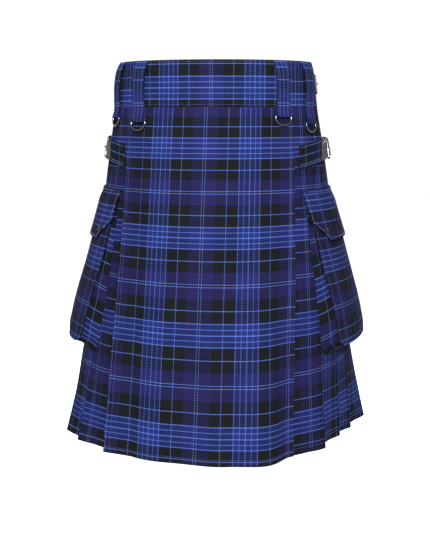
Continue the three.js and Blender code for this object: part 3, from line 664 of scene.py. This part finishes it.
def weftPlace(z):
    return columnAt(weave["rows"], 1, z) * weave["weftRepeat"]


def apronFlare(s, z):
    fromEdge = clamp01((apronLeft(z) + apron["flareWidth"] - s) / apron["flareWidth"])
    fromRight = clamp01((s - apronRight(z) + apron["curlWidth"]) / apron["curlWidth"])
    curl = apron["curlDepth"] * soften((apron["curlStart"] - z) / 120) * fromRight ** 1.5
    return apron["flareDepth"] * downShare(z, apron["flareStart"]) ** 1.2 * fromEdge ** 1.25 + curl


def buildFrontApron():
    heights = np.linspace(skirtTop, -body["length"], apron["rows"])
    grid, s = panelGrid(heights, apron["columns"], apronLeft, apronRight,
                        lambda s, z: apronOut + cloth + apronFlare(s, z) + creaseLift(apron["creases"], s, z))
    chartLeft = edgeAt(apron["chartLeftTop"], apron["chartLeftHem"])
    chartRight = edgeAt(apron["chartRightTop"], apron["chartRightHem"])
    share = np.linspace(0, 1, apron["columns"])
    chart = np.array([np.stack([
        (mix(chartLeft(z), chartRight(z), share) + 0.5) * weave["warpRepeat"],
        np.full(apron["columns"], weftPlace(z)),
    ], -1) for z in heights])
    piece = clothPiece("front_apron_cloth", grid, chart, cloth, replaces=["front_apron"])
    hem = rowAt(heights, -body["length"] + apron["hemStitch"])
    inset = apron["sideStitch"]
    rows = [gridLine(grid, row=hem), gridLine(grid, column=inset),
            gridLine(grid, column=apron["columns"] - 1 - inset)]
    addStitches("front_apron_stitches", rows, "darkThread")


def buildUnderApron():
    heights = np.linspace(skirtTop, -body["length"] + underApron["hemLift"], 90)
    grid, s = panelGrid(heights, 70, edgeAt(underApron["leftTop"], underApron["leftHem"]),
                        edgeAt(underApron["rightTop"], underApron["rightHem"]), lambda s, z: 0 * s + cloth)
    down = np.array([[weftPlace(z)] for z in heights])
    chart = np.stack([s + 0.5 * weave["warpRepeat"], np.repeat(down, 70, 1)], -1)
    piece = clothPiece("under_apron_cloth", grid, chart, cloth, replaces=["under_apron"])


print("kilt: pleats")

pleats = {
    "count": 9, "firstTop": 176.0, "firstHem": {-1: 238.0, 1: 216.0},
    "tuck": 24.0, "foldTop": 15.0, "foldHem": 30.0, "riseWidth": 3.0, "openFrom": -478.0, "openHem": 9.0,
    "sway": [0, 7, -5, 4, -3, 6, -4, 3, 0],
    "rows": 84,
    "thick": 0.95,
    "cut": 1050.0,           # about the width of one side's cloth as its tartan counts it, at the waist
    "lap": 7.0,              # at the centre back one side's inner layer runs on behind the other's
    "weftRaised": {-1: 4.0, 1: 8.0},   # how much higher the weft bands lie than the apron's
    # where each fold's edge falls in the sett, in warp repeats
    "charts": {-1: [0.652, 1.34, 2.22, 3.1, 3.98, 4.86, 5.74, 6.62, 7.5],
               1: [0.717, 1.32, 2.2, 3.08, 3.96, 4.84, 5.72, 6.6, 7.48]},
}


# The cloth's middle line at one z, round its folds: place along the girth, height, place in the flat cloth
def pleatLine(side, z):
    half = halfGirth(z)
    down = float(clamp01((skirtTop - z) / skirtLength))
    fold = mix(pleats["foldTop"], pleats["foldHem"], down)
    opening = pleats["openHem"] * downShare(z, pleats["openFrom"]) ** 1.4
    first = mix(pleats["firstTop"], pleats["firstHem"][side], down)
    lastEdge = half - gap - 0.5
    edgeOfApron = abs(apronLeft(z) if side < 0 else apronRight(z))
    low, middle, high = (pleatBase + layer * pleatStep + cloth / 2 for layer in (0, 1, 2))
    radius = pleatStep / 2
    bend = np.linspace(0, math.pi, 7)[1:-1]
    line = []
    chartFrom = None
    start = edgeOfApron - pleats["tuck"]
    fromS = start
    for index in range(pleats["count"]):
        edge = mix(first, lastEdge, index / (pleats["count"] - 1)) + pleats["sway"][index] * down * side
        chartEdge = pleats["charts"][side][index] * weave["warpRepeat"]
        risen = edge - fold - pleats["riseWidth"]
        s = np.concatenate([np.linspace(fromS, risen, 9), np.linspace(risen, edge - radius, 7)[1:]])
        height = low + (high - low) * soften((s - fromS) / max(risen - fromS, 1)) ** 0.8
        height = height + opening * clamp01((s - risen) / max(edge - risen, 1))
        chart = chartEdge - (edge - s)
        if chartFrom is not None:
            hidden = np.linspace(chartFrom, chart[0], 15)[1:-1]
            for row, value in zip(line[-13:], hidden):
                row[2] = value
        line += [list(row) for row in zip(s, height, chart)]
        top = high + opening
        under = middle + opening
        middleHeight, bendRadius = (top + under) / 2, (top - under) / 2
        line += [[edge - radius + radius * math.sin(a), middleHeight + bendRadius * math.cos(a), chartEdge]
                 for a in bend]
        backS = edge - fold + radius
        line += [[mix(edge - radius, backS, t), mix(under, middle, t), chartEdge] for t in (0.05, 0.5, 1.0)]
        line += [[backS - radius * math.sin(a), (middle + low) / 2 + radius * math.cos(a), chartEdge]
                 for a in bend]
        chartFrom = chartEdge
        fromS = min(edge + 1, half - gap / 2)
        if index == pleats["count"] - 1:
            line += [[backS, low, chartEdge + fold], [half - pleats["lap"], low, chartEdge + 2 * fold]]
            if side > 0:
                line.append([half + pleats["lap"], low - pleatStep, chartEdge + 2 * fold + 2 * pleats["lap"]])
            else:
                line.append([half - gap / 2, low, chartEdge + 2 * fold + pleats["lap"]])
    return np.array(line)


def buildPleats(side, name):
    heights = np.linspace(skirtTop, -body["length"], pleats["rows"])
    outer, inner, charts = [], [], []
    for z in heights:
        line = pleatLine(side, z)
        along = np.gradient(line[:, :2], axis=0)
        along /= np.linalg.norm(along, axis=1, keepdims=True)
        shift = np.stack([-along[:, 1], along[:, 0]], -1) * pleats["thick"] / 2
        out, into = line[:, :2] + shift, line[:, :2] - shift
        outer.append(place(side * out[:, 0], out[:, 1], z))
        inner.append(place(side * into[:, 0], into[:, 1], z))
        raisedBy = pleats["weftRaised"][side] * float(soften((-110 - z) / 140))
        charts.append(np.stack([line[:, 2], np.full(len(line), weftPlace(z - raisedBy))], -1))
    outer, inner, charts = (np.array(a) for a in (outer, inner, charts))
    if side < 0:
        outer, inner, charts = (a[:, ::-1] for a in (outer, inner, charts))
    mesh = shellMesh(name, outer, inner, charts)
    piece = addPiece(name, mesh, "tartan", replaces=[f"pleats_{sideNames[side]}"])
    hem = rowAt(heights, -body["length"] + apron["hemStitch"])
    addStitches(f"{name}_stitches", [gridLine(outer, row=hem)], "darkThread")


sideNames = {-1: "right", 1: "left"}
buildFrontApron()
buildUnderApron()
for side, word in sideNames.items():
    buildPleats(side, f"pleats_{word}_cloth")

print("kilt: waistband")

band = {
    "seamRight": -114.0, "seamLeft": 113.0,
    "stitchInset": 3.5,
    "warpScale": 1.07,       # the band is eased in, so its bands of colour lie closer
    # columns, place of a purple stripe along the girth, height of a blue band's middle
    "front": {"columns": 110, "purpleAt": 3.0, "blueZ": -42.5},
    "left": {"columns": 190, "purpleAt": 71.0, "blueZ": -68.0},
    "right": {"columns": 190, "purpleAt": -71.0, "blueZ": -62.0},
    "under": {"columns": 90, "purpleAt": 0.0, "blueZ": -40.0},
    "rows": 34,
    "creases": [
        (-60, -8, -64, -66, 7, -0.5), (10, -6, 16, -60, 8, 0.5), (70, -10, 66, -68, 7, -0.5),
        (180, -6, 176, -66, 7, -0.6), (-200, -8, -206, -64, 8, -0.6), (300, -8, 304, -66, 9, 0.6),
        (-310, -6, -300, -68, 9, 0.6), (-380, -8, -384, -64, 7, -0.5), (400, -8, 396, -62, 8, -0.5),
    ],
}


def buildBandPiece(word, left, right, out, thick):
    facts = band[word]
    heights = np.linspace(-0.5, -body["bandHeight"], band["rows"])
    puckers = lambda s, z: 0.25 * np.sin(s / 2.3) * np.exp(-abs(z + body["bandHeight"] - 4) / 5)
    grid, s = panelGrid(heights, facts["columns"], left, right,
                        lambda s, z: out + thick + creaseLift(band["creases"], s, z) + puckers(s, z))
    chart = np.stack([(s - facts["purpleAt"]) * band["warpScale"] + 0.5 * weave["warpRepeat"],
                      np.repeat((facts["blueZ"] - heights)[:, None], facts["columns"], 1)], -1)
    name = f"waistband_{word}_cloth"
    piece = clothPiece(name, grid, chart, thick, replaces=[f"waistband_{word}"], edge=0.9)
    rows = [gridLine(grid, row=rowAt(heights, -band["stitchInset"])),
            gridLine(grid, row=rowAt(heights, -body["bandHeight"] + band["stitchInset"]))]
    addStitches(f"waistband_{word}_stitches", rows, "darkThread")


def buildWaistband():
    half = gap / 2
    rightSeam, leftSeam = band["seamRight"], band["seamLeft"]
    face = (apronOut, layers["band"])
    buildBandPiece("front", lambda z: rightSeam + half, lambda z: leftSeam - half, *face)
    buildBandPiece("left", lambda z: leftSeam + half, lambda z: halfGirth(z) - half, *face)
    buildBandPiece("right", lambda z: -halfGirth(z) + half, lambda z: rightSeam - half, *face)
    buildBandPiece("under", lambda z: underApron["leftTop"], lambda z: underApron["rightTop"], 0.0, doubled)


buildWaistband()

print("kilt: belt loops and rings")

loops = {
    "width": 23.0,
    "leanDepth": 100.0,      # depth at which a loop has its full lean
    # arc length from the centre front, z of the ring's bar, lean of the foot to the apron, ring or not
    "places": {
        "front_right": (-114, -92, 4.5, True), "front_left": (113, -84, 3, True),
        "side_right": (-170, -86, 6.5, True), "side_left": (167, -95, 6.5, True),
        "back_right": (-348, -90, 0, False), "back_left": (348, -90, 0, False),
    },
    # z, how far it stands off the waistband's face
    "bulge": [(-1.5, 2), (-9, 4.8), (-24, 7), (-42, 7.4), (-60, 6.2), (-76, 3.6)],
    "stitchInset": 2.6,
    "warpScale": 1.25,       # the blue band's lines lie closer where the loop is folded in
}
ring = {"wire": 1.6, "halfWidth": 14.2, "drop": 15.0, "clearance": 0.35, "corner": 0.88}


# Frame of a loop: its outward and sideways directions and a function from height above the body, z and side
def loopFrame(at, lean):
    z0 = -body["bandHeight"]
    normal = unit(place(at, 10, z0) - place(at, 0, z0))
    across = np.array([-normal[1], normal[0], 0])

    def toPoint(out, z, sideways):
        leaned = math.copysign(lean, at) * float(clamp01(-z / loops["leanDepth"]))
        base = place(at * halfGirth(z) / halfGirth(z0) - leaned, 0, z)
        return base + (normal * out + across * sideways) * mm

    return normal, across, toPoint


def ringBar(at):
    under = apronOut + cloth if abs(at) < abs(apron["rightTop"]) else pleatTop
    hook = ring["wire"] + ring["clearance"] + cloth / 2
    return under + gap + cloth / 2 + hook, hook, under


def buildLoop(name, at, barZ, lean, withRing):
    toPoint = loopFrame(at, lean)[2]
    barOut, hook, under = ringBar(at)
    path = [[bandTop + off, z] for z, off in loops["bulge"]]
    path[-1][0] = max(path[-1][0], barOut + 1)
    if withRing:
        turns = np.radians([0, 45, 90, 135, 180])
        path += [[barOut + hook * math.cos(a), barZ - hook * math.sin(a)] for a in turns]
        path.append([barOut - hook, barZ + 7])
    else:
        lying = under + 3 * gap + cloth / 2
        path += [[lying + 0.3, barZ + 6], [lying, barZ]]
    line = smoothPath(path, 6)
    sideways = np.linspace(-loops["width"] / 2, loops["width"] / 2, 19)
    edgeRoll = 0.35 * (np.abs(sideways) / sideways[-1]) ** 6
    sheets = []
    for shift in (cloth / 2, -cloth / 2):
        sheets.append(np.array([[toPoint(out - roll, z, across) for across, roll in zip(sideways, edgeRoll)]
                                for out, z in shiftPath(line, shift)]))
    length = pathLength(line)
    chart = np.stack(np.meshgrid(sideways * loops["warpScale"], length + 6), -1)
    mesh = shellMesh(f"loop_{name}_cloth", *sheets, chart)
    piece = addPiece(f"loop_{name}_cloth", mesh, "tartan", replaces=[f"loop_{name}"], edge=0.3)
    inset = loops["stitchInset"] / loops["width"] * 18
    seen = slice(0, 6 * len(loops["bulge"]))
    rows = [gridLine(sheets[0][seen], column=column, inner=sheets[1][seen]) for column in (inset, 18 - inset)]
    addStitches(f"loop_{name}_stitches", rows, "darkThread")


def buildRing(name, at, barZ, lean):
    normal, across, toPoint = loopFrame(at, lean)
    barOut = ringBar(at)[0]
    centre = toPoint(barOut, barZ, 0)
    lower = toPoint(0, barZ - ring["drop"], 0) - toPoint(0, barZ, 0)
    lean = math.atan2(float(lower @ normal), ring["drop"] * mm)
    down = np.array([0, 0, -math.cos(lean)]) + normal * math.sin(lean)
    turn = np.linspace(0, math.pi, 35)
    bow = np.stack([np.cos(turn), 1 - ring["corner"] * (1 - np.sin(turn) ** 0.8)], -1)
    bar = np.stack([np.linspace(-ring["corner"], ring["corner"], 9), np.zeros(9)], -1)
    outline = np.concatenate([bar, bow])
    points = [centre + (across * x * ring["halfWidth"] + down * y * ring["drop"]) * mm for x, y in outline]
    mesh = smoothMesh(f"ring_{name}_wire", wireData(points, ring["wire"] * mm, unit(np.cross(across, down))))
    addPiece(f"ring_{name}_wire", mesh, "steel", bodyName=f"ring_{name}", replaces=[f"ring_{name}"])


for name, (at, barZ, lean, withRing) in loops["places"].items():
    buildLoop(name, at, barZ, lean, withRing)
    if withRing:
        buildRing(name, at, barZ, lean)

print("kilt: pockets")

pocket = {
    "share": 0.483, "width": 182.0, "topZ": -222.0, "faceBottomZ": -448.0, "footBottomZ": -465.0,
    "cornerRadius": 24.0, "footSpreadTop": 2.0, "footSpreadBottom": 13.0, "creaseDepth": 4.0,
    "gussetCut": 34.0,       # width of the strip that the gusset is cut from: it narrows towards the mouth
    "gussetChart": 30.0,     # width of tartan across the strip
    # the strip's middle line is set in the black band: painted shade for the shadow between the bag and the
    # apron
    "gussetFromPaintedShade": (33.0, 20.0),   # place in the sett of the strip's middle line and of its front mouth end
    "crown": 1.6, "crownRise": 50.0,
    # z, how far the face stands off the pleats
    "stand": [(-200, 2), (-240, 5.5), (-280, 10), (-340, 17.5), (-400, 24), (-440, 25), (-480, 21)],
    "blueZ": -310.0,         # middle of the face's blue band
    "stitchInset": 3.2,
    # across the face from its middle, z of both ends, half width and depth
    "creases": [(-60, -300, -66, -430, 9, -1.3), (10, -330, 2, -440, 13, 1.2), (58, -310, 66, -430, 9, -1.1),
                (-70, -420, 60, -432, 10, 1.0)],
}
flap = {
    "topZ": -199.0, "cornerZ": -247.0, "bottomZ": -279.0, "width": 194.0, "chamfer": 34.0,
    "rest": 0.6, "lift": 1.6, "blueZ": {-1: -242.0, 1: -214.0}, "stitchInset": 4.0, "topStitch": 3.0,
}


def pocketCentre(z):
    return pocket["share"] * halfGirth(z)


def standAt(z):
    return pleatTop + columnAt(pocket["stand"], 1, z)


def crownAt(z):
    return pocket["crown"] * float(clamp01((pocket["topZ"] - z) / pocket["crownRise"]))


def cornerInset(z, bottomZ):
    radius = pocket["cornerRadius"]
    above = z - bottomZ
    return 0 if above >= radius else radius - math.sqrt(max(0, radius**2 - (radius - above) ** 2))


def buildPocketFace(side):
    word = sideNames[side]
    bottom = pocket["faceBottomZ"]
    curve = bottom + pocket["cornerRadius"] * (1 - np.sin(np.linspace(0, math.pi / 2, 12)))
    heights = np.concatenate([np.linspace(pocket["topZ"], curve[0], 46)[:-1], curve])
    reach = lambda z: pocket["width"] / 2 - cornerInset(z, bottom)
    middle = lambda z: side * pocketCentre(z)

    def out(s, z):
        across = s - middle(z)
        fromMiddle = across / (pocket["width"] / 2)
        crown = crownAt(z) * (1 - fromMiddle ** 2)
        creases = creaseLift(pocket["creases"], across, z) * clamp01(1.3 - np.abs(fromMiddle))
        return standAt(z) + cloth + np.maximum(0, crown) + creases

    grid, s = panelGrid(heights, 64, lambda z: middle(z) - reach(z), lambda z: middle(z) + reach(z), out)
    across = s - np.array([[middle(z)] for z in heights])
    chart = np.stack([across, np.repeat((pocket["blueZ"] - heights)[:, None], 64, 1)], -1)
    name = f"pocket_face_{word}_cloth"
    piece = clothPiece(name, grid, chart, cloth, replaces=[f"pocket_face_{word}"])
    inset = pocket["stitchInset"] / pocket["width"] * 63
    rows = [gridLine(grid, column=inset), gridLine(grid, column=63 - inset)]
    addStitches(f"{name}_stitches", rows, "darkThread")


# The bag's outline from the front mouth corner down, along the bottom and up the back, spread at the foot
def pocketOutline(bottomZ, spreadTop, spreadBottom):
    topZ, radius, width = pocket["topZ"], pocket["cornerRadius"], pocket["width"]
    straight = np.linspace(topZ, bottomZ + radius, 26)
    spread = mix(spreadTop, spreadBottom, clamp01((topZ - straight) / (topZ - bottomZ)))
    centre = width / 2 + spreadBottom - radius
    turn = np.linspace(0, math.pi / 2, 11)[1:]
    points = np.concatenate([
        np.stack([-(width / 2 + spread), straight], -1),
        np.stack([-(centre + radius * np.cos(turn)), bottomZ + radius * (1 - np.sin(turn))], -1),
        np.stack([-centre * np.linspace(0.92, 0.04, 14), np.full(14, float(bottomZ))], -1),
    ])
    return np.concatenate([points, (points * [-1, 1])[::-1]])


def buildPocketGusset(side):
    word = sideNames[side]
    faceLine = pocketOutline(pocket["faceBottomZ"], 0, 0)
    footLine = pocketOutline(pocket["footBottomZ"], pocket["footSpreadTop"], pocket["footSpreadBottom"])
    shares = np.linspace(0, 1, 9)
    length = pathLength(faceLine)
    sheets = []
    for shift in (0, cloth):
        rows = []
        for share in shares:
            line = mix(footLine, faceLine, share)
            ripple = 0.7 * np.sin(length / 13) * math.sin(math.pi * share)
            creased = shiftPath(line, pocket["creaseDepth"] * math.sin(math.pi * share) + shift + ripple)
            creased[[0, -1], 1] = line[[0, -1], 1]
            out = [mix(pleatTop + gap, standAt(max(z, pocket["faceBottomZ"])) - 2 * gap, share)
                   for z in faceLine[:, 1]]
            rows.append([place(side * pocketCentre(z) + s, o, z) for (s, z), o in zip(creased, out)])
        sheets.append(np.array(rows))
    # the strip's tartan is placed so that its black band paints the shade falling between the bag and the
    # apron
    acrossFrom, alongFrom = pocket["gussetFromPaintedShade"]
    across = (shares - 0.5) * pocket["gussetChart"] + acrossFrom
    chart = np.stack(np.meshgrid(length + alongFrom, across), -1)[..., ::-1]
    name = f"pocket_gusset_{word}_cloth"
    piece = addPiece(name, shellMesh(name, *sheets, chart), "tartan",
                     replaces=[f"pocket_gusset_{word}"])


def flapStand(z):
    down = (flap["topZ"] - z) / (flap["topZ"] - pocket["topZ"])
    risen = float(clamp01((pocket["topZ"] - z) / (pocket["topZ"] - flap["bottomZ"])))
    rest = flap["rest"] + flap["lift"] * risen
    return mix(pleatTop + gap, standAt(z) + cloth + crownAt(z) + rest, float(soften(down)))


def buildFlap(side):
    word = sideNames[side]
    cornerZ, bottomZ = flap["cornerZ"], flap["bottomZ"]
    heights = np.concatenate([np.linspace(flap["topZ"], cornerZ, 26)[:-1], np.linspace(cornerZ, bottomZ, 18)])
    cutOff = lambda z: flap["chamfer"] * float(clamp01((cornerZ - z) / (cornerZ - bottomZ)))
    reach = lambda z: flap["width"] / 2 - cutOff(z)
    middle = lambda z: side * pocketCentre(z)
    grid, s = panelGrid(heights, 60, lambda z: middle(z) - reach(z), lambda z: middle(z) + reach(z),
                        lambda s, z: 0 * s + flapStand(z) + doubled)
    across = s - np.array([[middle(z)] for z in heights])
    chart = np.stack([across, np.repeat((flap["blueZ"][side] - heights)[:, None], 60, 1)], -1)
    name = f"pocket_flap_{word}_cloth"
    piece = clothPiece(name, grid, chart, doubled, replaces=[f"pocket_flap_{word}"], edge=0.8)
    inset = flap["stitchInset"] / flap["width"] * 59
    hem = rowAt(heights, bottomZ + flap["stitchInset"])
    top = rowAt(heights, flap["topZ"] - flap["topStitch"])
    rows = [gridLine(grid, column=inset), gridLine(grid, column=59 - inset),
            gridLine(grid[:, 3:-3], row=hem), gridLine(grid[:, 3:-3], row=top)]
    addStitches(f"{name}_stitches", rows)


for side in sideNames:
    buildPocketFace(side)
    buildPocketGusset(side)
    buildFlap(side)

print("kilt: hip tabs, straps and buckles")

hipTab = {
    "start": 143.0, "end": {-1: 192.0, 1: 206.0}, "height": 36.0, "z": -143.0, "slope": 0.16, "lift": 1.2,
    "stitchInset": 3.5,
    "chartFrom": (22.0, 37.0),   # place in the sett of the tab's front end and of its middle line
}
strapSets = {
    "waist": {"z": -33, "height": 31, "start": {-1: 206, 1: 206}, "buckle": 262, "base": bandTop, "slope": 0},
    "hip": {
        "z": -141, "height": 31, "start": {-1: 182, 1: 196}, "buckle": 246, "base": pleatTop, "slope": 0.1,
    },
}
buckle = {"wire": 1.7, "halfLength": 11.0, "corner": 2.6, "overhang": 0.6, "clearance": 0.4}
prong = {"wire": 1.3, "root": 1.95, "rootHalfWidth": 1.6}


def buildHipTab(side):
    word = sideNames[side]
    start, end = hipTab["start"], hipTab["end"][side]
    share = np.linspace(0, 1, 26)
    s = mix(start, end, share)
    out = pleatTop + gap + doubled / 2 + hipTab["lift"] * share**2
    middle = hipTab["z"] + hipTab["slope"] * (s - mix(start, end, 0.5))
    across = np.linspace(hipTab["height"] / 2, -hipTab["height"] / 2, 15)
    z = middle[None, :] + across[:, None]
    sheets = [placeEach(side * s[None, :], (out + shift)[None, :], z)
              for shift in (doubled / 2, -doubled / 2)]
    chartS, chartZ = hipTab["chartFrom"]
    chart = np.stack(np.meshgrid(s - start + chartS, chartZ - across), -1)
    if side < 0:
        sheets, chart = [sheet[:, ::-1] for sheet in sheets], chart[:, ::-1]
    name = f"hip_tab_{word}_cloth"
    piece = addPiece(name, shellMesh(name, *sheets, chart), "tartan",
                     replaces=[f"hip_tab_{word}"], edge=0.7)
    inset = hipTab["stitchInset"] / hipTab["height"] * 14
    rows = [gridLine(sheets[0], row=row, inner=sheets[1]) for row in (inset, 14 - inset, 14 - 1.9 * inset)]
    addStitches(f"{name}_stitches", rows)


def buildBuckle(setName, side):
    facts = strapSets[setName]
    bar, halfLength, corner = buckle["wire"], buckle["halfLength"], buckle["corner"]
    innerBar, outerBar = facts["buckle"] + halfLength, facts["buckle"] - halfLength
    hook = bar + buckle["clearance"] + leather / 2
    innerOut = facts["base"] + gap + leather / 2 + hook
    strapTop = innerOut + hook + leather + gap
    outerOut = innerOut + leather

    def toPoint(s, out, across):
        z = facts["z"] + facts["slope"] * (s - facts["start"][side]) + across
        return place(side * s, out, z)

    halfTall = facts["height"] / 2 + buckle["overhang"]
    outline = []
    for endS, endZ, startDeg in ((1, 1, 0), (-1, 1, 90), (-1, -1, 180), (1, -1, 270)):
        for angle in np.radians(startDeg + np.linspace(0, 90, 8)):
            outline.append((endS * (halfLength - corner) + corner * math.cos(angle),
                            endZ * (halfTall - corner) + corner * math.sin(angle)))
    frameWire = []
    for along, tall in outline:
        share = (along + halfLength) / (2 * halfLength)
        frameWire.append(toPoint(facts["buckle"] + along, mix(outerOut, innerOut, share), tall))
    frameWire = np.array(frameWire)
    facing = unit(np.cross(frameWire[12] - frameWire[4], frameWire[20] - frameWire[12]))
    prongPath = smoothPath([(innerBar - bar - 0.2, innerOut + 0.4), (innerBar - 7, strapTop + 1.2),
                            (outerBar + 5, outerOut + bar + 2), (outerBar - 1.5, outerOut + bar + 1.2)], 6)
    prongWire = [toPoint(s, out, 0) for s, out in prongPath]
    rootWire = [toPoint(innerBar, innerOut, end * prong["rootHalfWidth"]) for end in (-1, 0, 1)]
    name = f"buckle_{setName}_{sideNames[side]}"
    mesh = smoothMesh(f"{name}_wire",
                      wireData(frameWire, bar * mm, facing),
                      wireData(prongWire, prong["wire"] * mm, np.array([0, 0, 1.0]), sides=12, closed=False),
                      wireData(rootWire, prong["root"] * mm, facing, sides=12, closed=False))
    addPiece(f"{name}_wire", mesh, "steel", replaces=[name])


# Straps, chapes and stud caps keep the solids' form and take rounded edges
def dressSolids():
    kinds = {"strap_": ("leather", 0.5), "chape_": ("leather", 0.4), "stud_": ("stud", 0.25)}
    for name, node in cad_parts.items():
        for start, (material, width) in kinds.items():
            if name.startswith(start):
                node.data.materials.clear()
                node.data.materials.append(materials[material])
                roundEdges(node, width, 50)


for side in sideNames:
    buildHipTab(side)
    for setName in strapSets:
        buildBuckle(setName, side)
dressSolids()
